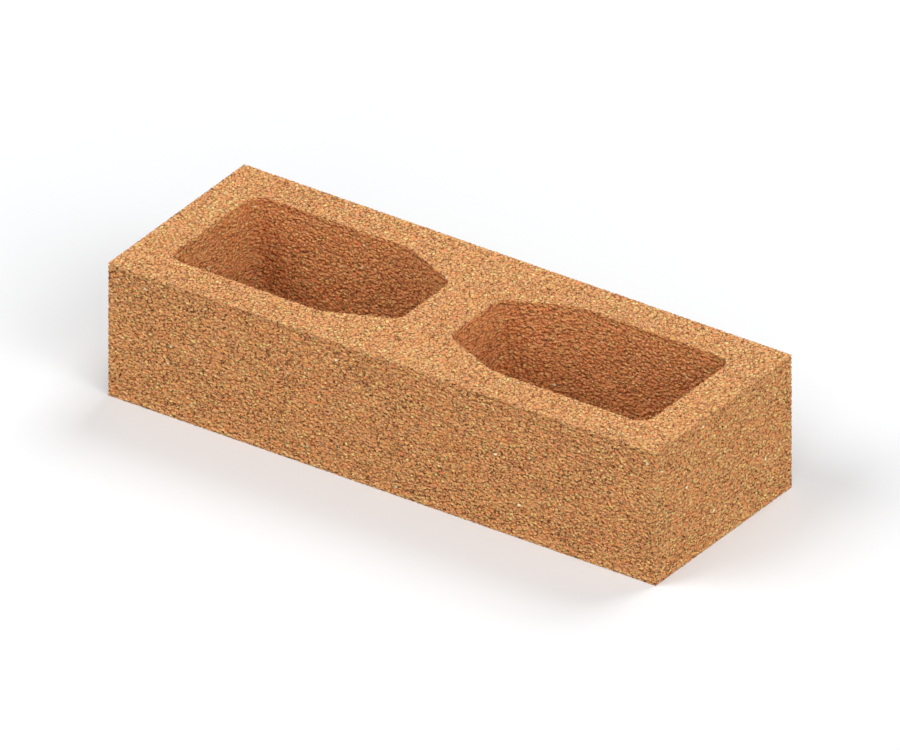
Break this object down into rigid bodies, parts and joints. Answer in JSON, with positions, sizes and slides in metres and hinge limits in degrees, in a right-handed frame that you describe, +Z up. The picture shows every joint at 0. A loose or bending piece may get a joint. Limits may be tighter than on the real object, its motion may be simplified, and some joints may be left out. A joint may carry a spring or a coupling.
{
  "type": "hollow concrete brick",
  "caption": "Rectangular hollow masonry brick, pierced from bed to bed by tapered cells, laid in mortar to build walls and filled with grout and steel where strength is needed.",
  "frame": {"origin": "centre of the lower bed face, on the floor that the brick lies on", "axes": "+X along the brick's length, +Y across its width, +Z up from the lower bed to the upper bed"},
  "size_m": [0.39, 0.14, 0.09],
  "materials": {
    "brick_body": "matte"
  },
  "bodies": {
    "root": {"brick": "brick_body"}
  },
  "joints": []
}
